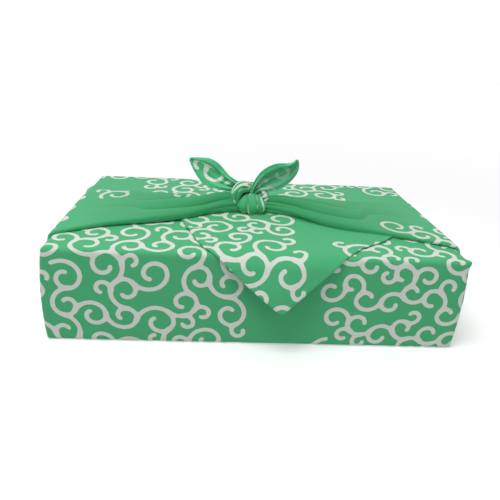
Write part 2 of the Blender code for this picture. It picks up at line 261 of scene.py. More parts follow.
def cotton(name, green, deep_green, white, print_strength):
    """Printed plain-woven cotton. print_strength is how strongly the vines show on this side."""
    finish = Finish(name)
    flat = finish.node("ShaderNodeUVMap", {"uv_map": "flat_cloth"}).outputs["UV"]
    place = finish.node("ShaderNodeTexCoord").outputs["Object"]
    parts = finish.node("ShaderNodeSeparateXYZ", None, {0: flat})
    across = Number(finish, parts.outputs[0])
    along = Number(finish, parts.outputs[1])
    warp = (across + along) * BIAS
    weft = (across - along) * BIAS

    stroke = Number(finish, finish.node("ShaderNodeAttribute", {"attribute_name": "print"}).outputs["Fac"])
    wander = finish.node("ShaderNodeTexNoise", None, {"Vector": flat, "Scale": 260.0, "Detail": 1.0})
    wobble = (Number(finish, wander.outputs[0]) - 0.5) * STROKE_WANDER
    mask = ((STROKE / 2 - stroke + wobble) / STROKE_SOFTNESS + 0.5).clamped() * print_strength

    cloud = finish.node("ShaderNodeTexNoise", None, {"Vector": place, "Scale": 16.0, "Detail": 3.0})
    fade = Number(finish, cloud.outputs[0])
    slub_place = finish.node("ShaderNodeCombineXYZ", None, {0: warp * 300.0, 1: weft * 2400.0})
    slub = finish.node("ShaderNodeTexNoise", None, {"Vector": slub_place.outputs[0], "Scale": 1.0})
    slubs = Number(finish, slub.outputs[0])
    ground = finish.mix((fade * 0.9 + slubs * 0.5 - 0.2).clamped(), deep_green, green)
    printed = finish.mix(mask, ground, white)
    # Painted shade: the per-corner shade attribute multiplies the colour darker towards FOLD_SHADE in
    # creases, gathers and beside overlapping cloth.
    shade = Number(finish, finish.node("ShaderNodeAttribute", {"attribute_name": "painted_fold_shade"}).outputs["Fac"])
    colour = finish.mix(shade.clamped(), printed, FOLD_SHADE, "MULTIPLY")
    finish.feed(finish.shader.inputs["Base Color"], colour)
    finish.feed(finish.shader.inputs["Roughness"], (fade * 0.12 + 0.80).clamped())

    threads = 2 * math.pi / (THREAD_SPACING * MM)
    weave = (warp * threads).sine() * (weft * threads).sine()
    crumple = finish.node("ShaderNodeTexNoise", None, {"Vector": place, "Scale": 55.0, "Detail": 2.0})
    height = weave * 0.10 + slubs * 0.25 + Number(finish, crumple.outputs[0]) * 1.6
    bump = finish.node("ShaderNodeBump", None, {"Strength": 0.22, "Distance": 0.0012, "Height": height})
    finish.feed(finish.shader.inputs["Normal"], bump.outputs[0])
    finish.shader.inputs["Specular IOR Level"].default_value = 0.28
    finish.shader.inputs["Sheen Weight"].default_value = 0.06
    finish.shader.inputs["Sheen Roughness"].default_value = 0.5
    return finish.material


RIGHT_SIDE = cotton("printed_cotton", (0.070, 0.440, 0.192, 1.0), (0.056, 0.400, 0.168, 1.0),
                    (0.66, 0.70, 0.63, 1.0), 1.0)
WRONG_SIDE = cotton("printed_cotton_wrong_side", (0.105, 0.400, 0.205, 1.0),
                    (0.085, 0.350, 0.180, 1.0), (0.52, 0.66, 0.55, 1.0), 0.75)


# The wrapped box: the cloth's middle under the box and its front corner, drawn tight up the front
# and the ends and over the top. One crowned, soft-edged form, a little uneven. Its ends swell a
# little, the left one stands out at the foot, and its right front corner is drawn to a point.
WRAP_WIDTH = 303.0
WRAP_DEPTH = 191.0
TOP_HEIGHT = 72.0
LAYER = 1.7
EDGE_ROUND = 2.8
END_SWELL = 2.2
LEFT_FOOT = 1.9
CORE_END = WRAP_WIDTH / 2 - LAYER
CORE_SIDE = WRAP_DEPTH / 2 - LAYER
GRID = 1.5
SIDE_CROWN = 0.7
CORNER_REACH = 9.0
CORNER_PULL = (3.2, -0.8, 1.4)


def end_swell(z):
    """How far the ends of the wrap swell out at a height."""
    return END_SWELL * np.sin(np.pi * np.clip(z / TOP_HEIGHT, 0.0, 1.0))


def unevenness(x, y):
    """How far the cloth on the top rises or sinks at a place: slow waves, and fine lines of pull
    that spread from the knot to the front."""
    slow = 0.45 * np.sin(x / 37.0 + 0.8) * np.sin(y / 29.0 + 0.4)
    distance = np.hypot(x + 5.0, y + 4.0)
    bearing = np.arctan2(x + 5.0, -y - 4.0)
    fan = np.exp(-((distance - 62.0) / 34.0) ** 2) * np.exp(-(bearing / 1.1) ** 4)
    pull = 0.42 * np.sin(bearing * 15.0 + 1.3 * np.sin(bearing * 4.0 + distance / 40.0)) * fan
    return slow + 0.20 * np.sin(x / 15.0 - y / 19.0) + pull


def cloth_object(name, bm, places, flat, material_slots, faces_to=None, painted_fold_shade=None):
    """Make an object of a bmesh whose vertices lie at places, and print the cloth on it.
    flat gives the flat cloth's place of each corner of each face, or of each vertex. faces_to is
    the way that the right side of an open sheet mostly looks, and the fold shade gives for each
    vertex how much shade is painted into its colour."""
    for vert, place in zip(bm.verts, (places + np.array((0.0, MIDDLE_SHIFT, 0.0))) * MM):
        vert.co = place
    bm.normal_update()
    if faces_to:
        looks = sum((face.normal * face.calc_area() for face in bm.faces), Vector())
        if looks.dot(Vector(faces_to)) < 0:
            bmesh.ops.reverse_faces(bm, faces=bm.faces)
    mesh = bpy.data.meshes.new(name)
    bm.to_mesh(mesh)
    bm.free()
    mesh.shade_smooth()
    corners = np.empty(len(mesh.loops), int)
    mesh.loops.foreach_get("vertex_index", corners)
    if len(flat) != len(mesh.loops):
        flat = flat[corners]
    # The painted shade of each vertex goes on as a per-corner attribute.
    if painted_fold_shade is not None:
        layer = mesh.attributes.new("painted_fold_shade", "FLOAT", "CORNER")
        layer.data.foreach_set("value", np.clip(painted_fold_shade, 0.0, 1.0)[corners].astype(np.float32))
    uv_map = mesh.uv_layers.new(name="flat_cloth")
    uv_map.data.foreach_set("uv", (flat * MM).astype(np.float32).ravel())
    layer = mesh.attributes.new("print", "FLOAT", "CORNER")
    layer.data.foreach_set("value", print_distance(flat).astype(np.float32))
    obj = bpy.data.objects.new(name, mesh)
    bpy.context.scene.collection.objects.link(obj)
    for material in material_slots:
        mesh.materials.append(material)
    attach(obj, "root")
    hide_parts("furoshiki")
    return obj


def wrapped_box():
    """The box in its first layer of cloth."""
    bm = bmesh.new()
    bmesh.ops.create_cube(bm, size=1.0)
    size = (2 * CORE_END, 2 * CORE_SIDE, TOP_HEIGHT)
    bmesh.ops.scale(bm, vec=size, verts=bm.verts)
    bmesh.ops.translate(bm, vec=(0, 0, TOP_HEIGHT / 2), verts=bm.verts)
    bmesh.ops.bevel(bm, geom=bm.edges[:], offset=EDGE_ROUND, segments=4, profile=0.5,
                    affect="EDGES", material=-1)
    for axis in range(3):
        along = [e for e in bm.edges
                 if abs((e.verts[0].co - e.verts[1].co)[axis]) > 0.5 * size[axis]]
        bmesh.ops.subdivide_edges(bm, edges=along, cuts=int(size[axis] / GRID), use_grid_fill=True)
    bm.normal_update()
    places = np.array([vert.co[:] for vert in bm.verts])
    x, y, z = places.T
    inner_x = np.maximum(0.0, 1 - np.abs(x / CORE_END) ** 3)
    inner_y = np.maximum(0.0, 1 - np.abs(y / CORE_SIDE) ** 3)
    inner_z = np.maximum(0.0, 1 - np.abs(2 * z / TOP_HEIGHT - 1) ** 3)
    on_top = z > TOP_HEIGHT - 0.01
    on_side = np.abs(y) > CORE_SIDE - 0.01
    drawn = 0.25 * np.sin(x / 21.0 + 0.5 * np.sin(z / 17.0)) + 0.15 * np.sin(x / 9.5 + z / 23.0)

    # The flat cloth's place of every corner of every face, by the side of the box it is on
    flat = []
    for face in bm.faces:
        normal = face.normal
        for vert in face.verts:
            px, py, pz = vert.co
            side = math.copysign(1.0, px)
            if normal.z < -0.6:
                flat.append((px, py))
            elif abs(normal.x) > 0.2 and py < 0:
                flat.append((side * (abs(px) + py + CORE_SIDE), -CORE_SIDE - pz))
            elif abs(normal.x) > 0.2:
                flat.append((side * (abs(px) + CORE_SIDE - py), CORE_SIDE + pz))
            elif normal.y > 0.5:
                flat.append((px, CORE_SIDE + pz))
            else:
                flat.append((px, -CORE_SIDE - pz - (py + CORE_SIDE)))

    places[:, 2] += unevenness(x, y) * inner_x * inner_y * on_top
    places[:, 1] += np.sign(y) * (SIDE_CROWN + drawn) * inner_x * inner_z * on_side
    places[:, 0] += x / CORE_END * end_swell(z)
    lowness = np.clip(1 - z / TOP_HEIGHT, 0.0, 1.0)
    places[:, 0] -= LEFT_FOOT * lowness * np.clip(-x / CORE_END, 0.0, 1.0)
    corner = np.array((CORE_END, -CORE_SIDE, TOP_HEIGHT))
    near = np.clip(1 - np.linalg.norm(places - corner, axis=1) / CORNER_REACH, 0.0, 1.0) ** 2
    places += near[:, None] * np.array(CORNER_PULL)
    obj = cloth_object("wrapped_box_cloth", bm, places, np.array(flat), (RIGHT_SIDE,))
    return obj


wrapped_box()


# The back corner of the cloth: one layer up the back, over the top and down the front, where it
# ends in a pointed flap that stands a little off the front. Its cut edges have a narrow hem.
CLOTH_THICKNESS = 0.7
HEM = 3.6
BEND_COLUMNS = ("run", "angle")
CORNER_RUN = TOP_HEIGHT - EDGE_ROUND + EDGE_ROUND * math.pi / 2
TOP_RUN = 2 * (CORE_SIDE - EDGE_ROUND)
FLAP_START = CORNER_RUN + TOP_RUN - 3.0
FLAP_LEAN = 15.0
FLAP_BEND = 12.0
BACK_BENDS = (
    (0.0, 0.0),
    (TOP_HEIGHT - EDGE_ROUND, 0.0),
    (CORNER_RUN, 90.0),
    (FLAP_START, 90.0),
    (FLAP_START + math.radians(90.0 - FLAP_LEAN) * FLAP_BEND, 180.0 - FLAP_LEAN),
    (FLAP_START + 60.0, 180.0 - FLAP_LEAN),
)
BACK_EDGE_COLUMNS = ("run", "left", "right", "lift")
BACK_EDGES = (
    (0.0, -146.0, 146.0, 0.0),
    (36.0, -145.0, 145.0, 0.4),
    (CORNER_RUN, -148.0, 148.0, 0.0),
    (105.6, -148.0, 148.0, 0.4),
    (134.6, -147.0, 147.5, 0.7),
    (163.6, -104.0, 139.0, 0.8),
    (181.6, -73.0, 128.5, 0.7),
    (194.6, -60.0, 119.5, 0.5),
    (210.6, -54.6, 110.0, 0.3),
    (224.6, -49.5, 97.4, 0.2),
    (233.6, -46.2, 86.5, 0.1),
    (241.6, -43.0, 76.0, 0.1),
    (FLAP_START, -38.3, 66.5, 0.0),
    (260.6, -29.4, 58.1, 0.0),
    (268.3, -21.1, 50.1, 0.2),
    (276.6, -12.3, 41.2, 0.5),
    (284.6, -2.8, 32.5, 0.7),
    (292.6, 7.2, 23.8, 0.6),
    (296.6, 12.2, 19.6, 0.4),
    (298.9, 15.1, 18.4, 0.2),
)


def columns(names, table):
    """Give each column of a table as an array, by its name."""
    return dict(zip(names, np.array(table, float).T))


def smooth(at, stations, values):
    """Read a column between its stations on a smooth curve that doesn't overshoot."""
    steps = np.diff(stations)
    rises = np.diff(values) / steps
    slopes = np.zeros(len(values))
    same_way = rises[:-1] * rises[1:] > 0
    mean = (rises[:-1] * steps[1:] + rises[1:] * steps[:-1]) / (steps[:-1] + steps[1:])
    slopes[1:-1] = np.where(same_way, mean, 0.0)
    slopes[0] = rises[0]
    slopes[-1] = rises[-1]
    index = np.clip(np.searchsorted(stations, at, side="right") - 1, 0, len(steps) - 1)
    step = steps[index]
    t = np.clip((at - stations[index]) / step, 0.0, 1.0)
    return (values[index] * (1 + 2 * t) * (1 - t) ** 2 + slopes[index] * step * t * (1 - t) ** 2
            + values[index + 1] * t * t * (3 - 2 * t) + slopes[index + 1] * step * t * t * (t - 1))


def bent_path(bends, start, length):
    """Follow a cloth's middle line up, over and down. At angle 0 it climbs, at 90 it runs over the
    top, at 180 it hangs. Gives its stations, and at each the reach inwards, height and angle."""
    table = columns(BEND_COLUMNS, bends)
    stations = np.arange(0.0, length + 0.25, 0.25)
    angle = np.radians(np.interp(stations, table["run"], table["angle"]))
    reach = np.concatenate(([0.0], np.cumsum(np.sin(angle[:-1]) * 0.25)))
    height = start + np.concatenate(([0.0], np.cumsum(np.cos(angle[:-1]) * 0.25)))
    return stations, reach, height, angle


def grid_of(across, along):
    """A flat grid and, for each of its vertices, its share across (0 to 1) and along (0 to 1)."""
    bm = bmesh.new()
    bmesh.ops.create_grid(bm, x_segments=across, y_segments=along, size=0.5)
    spots = np.array([vert.co[:2] for vert in bm.verts]) + 0.5
    return bm, spots[:, 0], spots[:, 1]


def thicken(obj, thickness, offset):
    """Give a sheet its thickness, with the cloth's wrong side on its inner face."""
    solidify = obj.modifiers.new("thickness", "SOLIDIFY")
    solidify.thickness = thickness * MM
    solidify.offset = offset
    solidify.material_offset = 1
    solidify.material_offset_rim = 0


def hem_height(distance):
    """The turned hem beside a cut edge: a low step with a row of stitches sunk along it."""
    step = 0.45 / (1 + np.exp((distance - HEM) / 0.25))
    stitch = 0.28 * np.exp(-((distance - HEM + 0.7) / 0.45) ** 2)
    return step - stitch


SETTLED = 1.5
FREE_FROM = 165.0
RUMPLE_AT = 212.0
SHADED_FROM = (30.0, -18.4)
SHADED_SLOPE = -0.57
SHADED_MIDDLE = 38.0


def back_corner():
    """The layer over the back and the top, and the flap. It lies close on the box, stands off a
    little less at its free edges, and has a shadow painted into its colour along the right band's front
    edge."""
    edges = columns(BACK_EDGE_COLUMNS, BACK_EDGES)
    length = edges["run"][-1]
    bm, share, along = grid_of(170, 215)
    run = along * length
    left = smooth(run, edges["run"], edges["left"])
    right = smooth(run, edges["run"], edges["right"])
    lift = smooth(run, edges["run"], edges["lift"])
    x = left + (right - left) * share
    stations, reach, height, angle = bent_path(BACK_BENDS, 0.0, length)
    y = CORE_SIDE - np.interp(run, stations, reach)
    z = np.interp(run, stations, height)
    turn = np.interp(run, stations, angle)

    from_left = (x - left) * 0.70
    from_right = (right - x) * 0.70
    from_edge = np.minimum(from_left, from_right)
    free = np.clip((run - FREE_FROM) / 25.0, 0.0, 1.0)
    settled = SETTLED - 1.0 * free * np.exp(-from_edge / 7.0)
    wave = unevenness(x, y) * np.sin(turn)
    hanging = np.clip((run - FLAP_START - 6.0) / 30.0, 0.0, 1.0)
    curl_up = hanging * (1.1 * np.sin(x / 13.0 + 0.7) + 0.6 * np.sin(x / 7.0 + run / 9.0)) * 0.8
    at_rumple = np.exp(-((run - RUMPLE_AT) / 16.0) ** 2)
    rumple = 1.1 * at_rumple * np.exp(-from_left / 8.0) * np.sin(run / 2.6)
    drape = 0.35 * np.sin((x + 0.6 * run) / 17.0) * free
    out = settled + lift * np.sin(np.pi * share) + wave + hem_height(from_edge) * free
    out = out + curl_up + rumple + drape * (1 - np.exp(-from_edge / 10.0))
    floor_fade = np.clip(run / 6.0, 0.0, 1.0)
    out = out * floor_fade - 1.0 * (1 - floor_fade)
    places = np.column_stack((x, y + out * np.cos(turn), z + out * np.sin(turn)))
    flat = np.column_stack((x, CORE_SIDE + run))
    # Painted shadow: darker colour just in front of the right band's front edge near the knot
    band_edge = SHADED_FROM[1] + SHADED_SLOPE * (x - SHADED_FROM[0])
    painted_band_shadow = np.exp(-((band_edge - y - 1.0) / 2.4) ** 2)
    painted_band_shadow = painted_band_shadow * np.exp(-((x - SHADED_MIDDLE) / 17.0) ** 2)
    obj = cloth_object("back_corner_and_flap", bm, places, flat, (RIGHT_SIDE, WRONG_SIDE), (0, 0, 1),
                       0.8 * painted_band_shadow * np.sin(turn) * free)
    thicken(obj, CLOTH_THICKNESS, 0.0)
    return obj


back_corner()


# The side corners of the cloth: each is folded in at the front and back of its end of the box,
# climbs the end, lies over the top edge, and is gathered over the top into a roll at the knot.
# edge is the height of its folded edges over the box, puff that of the roll, crease how strong
# the main fold in it is, and valley the fold's place from the front edge (0) to the back one (1).
BAND_COLUMNS = ("out", "z", "front", "back", "edge", "puff", "crease", "valley")
LEFT_BAND = (
    (CORE_END, 0.0, -88.8, 88.8, 0.6, 0.0, 0.0, 0.46),
    (CORE_END, 5.0, -88.5, 86.8, 1.6, 0.0, 0.0, 0.46),
    (CORE_END, 20.0, -84.2, 77.5, 1.9, 0.4, 0.0, 0.46),
    (CORE_END, 44.0, -78.1, 60.5, 1.9, 0.6, 0.0, 0.46),
    (CORE_END, 66.5, -70.8, 44.0, 1.9, 0.2, 0.0, 0.46),
    (CORE_END - 4.5, TOP_HEIGHT, -66.8, 39.7, 2.6, 0.2, 0.0, 0.46),
    (131.0, TOP_HEIGHT, -58.6, 38.7, 2.8, 0.6, 0.3, 0.46),
    (118.0, TOP_HEIGHT, -51.6, 37.7, 3.0, 1.1, 0.7, 0.45),
    (101.0, TOP_HEIGHT, -45.6, 35.2, 3.2, 1.9, 1.4, 0.44),
    (86.0, TOP_HEIGHT, -41.3, 32.2, 3.4, 3.1, 2.4, 0.36),
    (69.0, TOP_HEIGHT, -35.1, 26.2, 3.6, 4.9, 3.8, 0.36),
    (52.5, TOP_HEIGHT, -27.4, 18.2, 4.0, 6.6, 5.0, 0.37),
    (38.0, TOP_HEIGHT, -19.2, 11.0, 4.2, 8.8, 5.6, 0.40),
    (27.0, TOP_HEIGHT, -13.9, 6.2, 4.8, 10.2, 5.4, 0.44),
    (18.0, TOP_HEIGHT, -11.6, 3.7, 5.6, 9.8, 4.2, 0.47),
    (9.0, TOP_HEIGHT, -10.4, 3.2, 6.0, 8.0, 2.4, 0.49),
)
RIGHT_BAND = (
    (CORE_END, 0.0, -88.8, 88.8, 0.6, 0.0, 0.0, 0.54),
    (CORE_END, 5.0, -88.7, 86.8, 1.6, 0.0, 0.0, 0.54),
    (CORE_END, 20.0, -85.5, 77.5, 1.9, 0.3, 0.0, 0.54),
    (CORE_END, 44.0, -79.5, 59.5, 1.9, 0.5, 0.0, 0.54),
    (CORE_END, 66.5, -73.6, 42.2, 1.9, 0.2, 0.0, 0.54),
    (CORE_END - 4.5, TOP_HEIGHT, -68.4, 36.7, 2.6, 0.2, 0.0, 0.54),
    (129.0, TOP_HEIGHT, -60.6, 33.7, 2.8, 0.7, 0.3, 0.54),
    (115.0, TOP_HEIGHT, -55.0, 31.5, 3.0, 1.3, 0.8, 0.54),
    (100.0, TOP_HEIGHT, -50.6, 29.2, 3.2, 2.1, 1.5, 0.54),
    (88.0, TOP_HEIGHT, -47.9, 27.2, 3.4, 3.1, 2.4, 0.38),
    (75.0, TOP_HEIGHT, -44.2, 25.2, 3.6, 4.3, 3.4, 0.36),
    (60.0, TOP_HEIGHT, -36.8, 21.2, 4.0, 5.9, 4.4, 0.35),
    (44.0, TOP_HEIGHT, -26.4, 16.2, 4.8, 7.4, 5.2, 0.36),
    (30.0, TOP_HEIGHT, -18.4, 11.2, 5.4, 8.8, 5.4, 0.38),
    (18.0, TOP_HEIGHT, -14.4, 7.6, 5.8, 9.2, 4.8, 0.40),
    (8.0, TOP_HEIGHT, -11.8, 4.4, 6.0, 8.4, 3.2, 0.41),
    (-1.0, TOP_HEIGHT, -10.6, 3.8, 5.4, 6.6, 1.6, 0.42),
)


def rolled_section(half_width, height, count):
    """Half-rolled section of a band, from its front edge tucked under, over the top, to its back
    edge tucked under. Wide and low it is a flat sheet with turned edges, narrow and high a roll."""
    squareness = min(18.0, 2.2 + 0.8 * max(0.0, half_width / height - 1.3))
    turn = np.linspace(-0.36 * np.pi, 1.36 * np.pi, 900)
    across = -half_width * np.sign(np.cos(turn)) * np.abs(np.cos(turn)) ** (2 / squareness)
    belly = (0.32 + 0.12 * min(1.0, max(0.0, 2.4 - half_width / height))) * height
    rise = np.abs(np.sin(turn)) ** (2 / squareness)
    up = np.where(np.sin(turn) >= 0, belly + (height - belly) * rise, belly - belly * rise)
    walked = np.concatenate(([0.0], np.cumsum(np.hypot(np.diff(across), np.diff(up)))))
    even = np.linspace(0.0, walked[-1], count)
    return np.interp(even, walked, across), np.interp(even, walked, up), walked[-1]


def sharp_fold(distance, width):
    """A crease across a fold: deepest at distance 0, with a sharp foot and soft shoulders."""
    return np.exp(-np.sqrt(distance ** 2 + (0.12 * width) ** 2) / width)


STRONGEST_CREASE = 5.6
CREASE_DEPTH = 6.4
REAR_RIDGE = 2.8
FRONT_ROLL = 0.8


def band(name, side, table, pleats):
    """One side corner of the cloth, from the floor to the knot. pleats are fine folds in its top:
    share across at the knot, share across far out, depth, and how far out they reach."""
    column = columns(BAND_COLUMNS, table)
    on_end = column["z"] < TOP_HEIGHT
    over_top = CORNER_RUN + (CORE_END - EDGE_ROUND) - column["out"]
    station = np.where(on_end, column["z"], over_top)
    length = station[-1]
    across, along = 96, 150
    bm, share, far = grid_of(across, along)
    bends = BACK_BENDS[:3] + ((length, 90.0),)
    stations, reach, height, angle = bent_path(bends, 0.0, length)
    count = across + 1
    places = np.zeros((len(share), 3))
    flat = np.zeros((len(share), 2))
    painted_fold_shade = np.zeros(len(share))
    order = np.lexsort((share, far)).reshape(along + 1, count)
    q = np.linspace(0.0, 1.0, count)
    for row in range(along + 1):
        run = length * row / along
        value = {key: float(smooth(np.array([run]), station, column[key])[0]) for key in column}
        half = (value["back"] - value["front"]) / 2
        middle = (value["back"] + value["front"]) / 2
        tall = value["edge"] + value["puff"]
        offset, up, girth = rolled_section(half, tall, count)
        normal_y = -np.gradient(up)
        normal_z = np.gradient(offset)
        size = np.hypot(normal_y, normal_z)
        normal_y, normal_z = normal_y / size, normal_z / size
        gathered = value["crease"] / STRONGEST_CREASE
        past = q - value["valley"]
        inward = gathered * (CREASE_DEPTH * sharp_fold(past, 0.045)
                             - REAR_RIDGE * np.exp(-((past - 0.13) / 0.075) ** 2)
                             - FRONT_ROLL * np.exp(-((past + 0.13) / 0.09) ** 2))
        nearness = run / length
        # Painted shade: darker colour along the main crease and along each pleat
        painted_crease_shade = 0.55 * gathered * sharp_fold(past - 0.01, 0.035)
        for at_knot, far_out, depth, reach_out in pleats:
            strength = np.clip((nearness - reach_out) / (1 - reach_out), 0.0, 1.0)
            spot = far_out + (at_knot - far_out) * strength
            inward = inward + depth * strength ** 0.8 * sharp_fold(q - spot, 0.032)
            painted_crease_shade = painted_crease_shade + 0.14 * depth * strength ** 0.8 * sharp_fold(q - spot, 0.028)
        on_top = np.clip((run - CORNER_RUN) / 30.0, 0.0, 1.0)
        soft = 0.30 * np.sin(q * 9.0 + run / 26.0) + 0.22 * np.sin(q * 17.0 - run / 19.0)
        inward = inward - soft * np.sin(np.pi * q) * on_top
        y = middle + offset - inward * normal_y
        lift = up - inward * normal_z
        turn = np.interp(run, stations, angle)
        core_x = CORE_END - np.interp(run, stations, reach)
        core_z = np.interp(run, stations, height)
        out_x = core_x + end_swell(core_z) + lift * np.cos(turn)
        if side < 0:
            out_x = out_x + LEFT_FOOT * max(0.0, 1 - core_z / TOP_HEIGHT)
        out_z = core_z + lift * np.sin(turn) + unevenness(side * core_x, y) * np.sin(turn)
        spots = order[row]
        places[spots] = np.column_stack((side * out_x, y, np.maximum(out_z, 0.05)))
        flat_width = max(girth, 0.55 * girth + 34.0)
        flat[spots, 0] = side * (CORE_END + run)
        flat[spots, 1] = middle + (q - 0.5) * flat_width
        # Painted shade on the top: a little everywhere, more towards the knot, and most under the tucked
        # front edge
        painted_underside_shade = np.exp(-(q / 0.07) ** 2)
        close_by = np.clip((nearness - 0.34) / 0.36, 0.0, 1.0)
        painted_fold_shade[spots] = on_top * (0.12 + 0.26 * close_by + painted_crease_shade + 0.4 * close_by * painted_underside_shade)
    obj = cloth_object(name, bm, places, flat, (RIGHT_SIDE, WRONG_SIDE), (0, 0, 1), painted_fold_shade)
    thicken(obj, CLOTH_THICKNESS, -1.0)
    return obj


LEFT_PLEATS = (
    (0.70, 0.60, 4.4, 0.50),
    (0.36, 0.20, 1.8, 0.66),
    (0.24, 0.14, 1.2, 0.74),
)
RIGHT_PLEATS = (
    (0.64, 0.60, 3.4, 0.50),
    (0.52, 0.49, 3.0, 0.56),
    (0.29, 0.20, 1.8, 0.66),
    (0.20, 0.12, 1.2, 0.74),
)
band("left_band", -1, LEFT_BAND, LEFT_PLEATS)
band("right_band", 1, RIGHT_BAND, RIGHT_PLEATS)


# The square knot: the two gathered corners cross in it, so three fat folds of cloth show, each
# drawn tight over the next and pleated along its length.
KNOT_COLUMNS = ("x", "y", "z", "half_width", "half_depth")
FRONT_FOLD = (
    (-3.5, -1.0, 84.9, 3.4, 3.4),
    (-3.0, -7.0, 86.6, 7.4, 4.2),
    (-2.9, -11.6, 84.5, 11.0, 5.0),
    (-2.8, -12.8, 81.0, 12.4, 5.4),
    (-2.9, -10.6, 78.1, 11.2, 5.4),
    (-2.9, -4.5, 75.9, 8.4, 4.6),
)
LEFT_FOLD = (
    (-3.6, -1.0, 90.9, 4.0, 3.6),
    (-6.9, -2.0, 94.7, 6.4, 4.6),
    (-11.4, -3.0, 94.5, 7.6, 5.2),
    (-15.1, -3.4, 90.7, 8.0, 5.2),
    (-15.9, -3.6, 85.3, 7.6, 4.8),
    (-14.3, -3.4, 79.9, 6.4, 4.2),
)
REAR_FOLD = (
    (-12.2, 5.0, 83.9, 6.0, 5.0),
    (-6.1, 7.6, 85.9, 8.0, 5.4),
    (0.5, 6.8, 87.0, 8.2, 5.4),
    (6.3, 3.0, 86.5, 7.2, 5.4),
    (7.1, -3.0, 85.2, 6.4, 5.0),
    (3.6, -7.5, 85.4, 4.4, 4.2),
)


PLEAT_HIDES = 7.0


def knot_fold(name, table, broad_way, pleats, depth, start_u, start_v):
    """One fat fold of the knot: a closed roll, broad in one direction, whose pleats run along it,
    are deepest where it goes into the knot, and each hide a strip of the printed cloth."""
    column = columns(KNOT_COLUMNS, table)
    corners = np.column_stack((column["x"], column["y"], column["z"]))
    station = np.concatenate(([0.0], np.cumsum(np.linalg.norm(np.diff(corners, axis=0), axis=1))))
    rings, around = 46, 72
    bm = bmesh.new()
    bmesh.ops.create_cone(bm, cap_ends=True, segments=around, radius1=1.0, radius2=1.0, depth=1.0)
    walls = [e for e in bm.edges if abs(e.verts[0].co.z - e.verts[1].co.z) > 0.5]
    bmesh.ops.subdivide_edges(bm, edges=walls, cuts=rings)
    spots = np.array([vert.co[:] for vert in bm.verts])
    angle = np.arctan2(spots[:, 1], spots[:, 0])
    share = spots[:, 2] + 0.5
    run = share * station[-1]
    middle = np.column_stack([smooth(run, station, column[key]) for key in ("x", "y", "z")])
    ahead = np.column_stack([smooth(np.minimum(run + 0.5, station[-1]), station, column[key])
                             for key in ("x", "y", "z")])
    behind = np.column_stack([smooth(np.maximum(run - 0.5, 0.0), station, column[key])
                              for key in ("x", "y", "z")])
    forward = ahead - behind
    forward /= np.linalg.norm(forward, axis=1)[:, None]
    outward = np.cross(forward, np.array(broad_way))
    outward /= np.linalg.norm(outward, axis=1)[:, None]
    broad = np.cross(outward, forward)
    tight = 0.35 + 0.9 * np.exp(-share * 4.0) + 0.6 * np.exp(-(1 - share) * 5.0)
    phase = pleats * angle / 2 + 0.9 * np.sin(angle + 1.0) + 0.8 * share
    groove = (1 - np.abs(np.sin(phase))) ** 2.0 * tight
    swell = 1.0 - depth * groove
    wide = smooth(run, station, column["half_width"]) * swell
    deep = smooth(run, station, column["half_depth"]) * swell
    places = middle + broad * (wide * np.cos(angle))[:, None] + outward * (deep * np.sin(angle))[:, None]
    hidden = PLEAT_HIDES * np.floor(phase / math.pi)
    flat = np.column_stack((start_u + run * 1.3, start_v + angle * 13.0 + hidden))
    for vert, place in zip(bm.verts, places):
        vert.co = place
    bmesh.ops.recalc_face_normals(bm, faces=bm.faces)
    # Painted shade: the pleat grooves are darkened in the colour by their depth
    obj = cloth_object(name, bm, places, flat, (RIGHT_SIDE,), None, 0.9 * groove)
    return obj


knot_fold("knot_rear_fold", REAR_FOLD, (0, 0, 1), 6, 0.34, 380.0, -20.0)
knot_fold("knot_left_fold", LEFT_FOLD, (0, 1, 0), 6, 0.26, -430.0, 10.0)
knot_fold("knot_front_fold", FRONT_FOLD, (1, 0, 0), 9, 0.34, 400.0, 12.0)


# The two ears: the very corners of the cloth, flat leaves that stand up from the knot and bend
# outwards, with a narrow hem round them. The right one is cupped, so it shows the wrong side.
EAR_COLUMNS = ("x", "y", "z", "half_width", "cup", "roll")
LEFT_EAR = (
    (-9.7, 0.5, 90.9, 3.4, 2.0, 4),
    (-17.2, 1.6, 94.2, 4.7, 2.2, 5),
    (-22.6, 2.0, 95.8, 6.0, 2.4, 6),
    (-28.2, 2.4, 97.9, 7.8, 2.2, 8),
    (-33.9, 2.6, 101.3, 9.6, 1.8, 8),
    (-38.8, 2.2, 105.1, 10.2, 1.6, 8),
    (-43.7, 1.6, 108.7, 9.2, 1.4, 8),
    (-47.7, 1.0, 111.3, 7.0, 1.0, 6),
    (-51.6, 0.6, 113.8, 4.2, 0.6, 6),
    (-55.1, 0.0, 116.2, 1.2, 0.2, 4),
)
RIGHT_EAR = (
    (-3.5, -4.0, 88.9, 2.4, 1.6, -6),
    (-0.9, -1.8, 92.9, 4.0, 2.2, -6),
    (2.7, -0.6, 96.4, 6.8, 2.8, -8),
    (8.1, 0.6, 100.2, 9.8, 3.4, -8),
    (14.6, 1.4, 103.6, 11.3, 3.8, -8),
    (20.4, 1.8, 106.4, 11.0, 3.8, -8),
    (25.4, 1.4, 109.1, 9.2, 3.2, -8),
    (29.6, 0.8, 112.2, 6.4, 2.4, -8),
    (32.1, 0.4, 115.7, 3.6, 1.2, -6),
    (33.3, 0.0, 119.2, 1.0, 0.3, -6),
)
RIM_STEP = 1.5


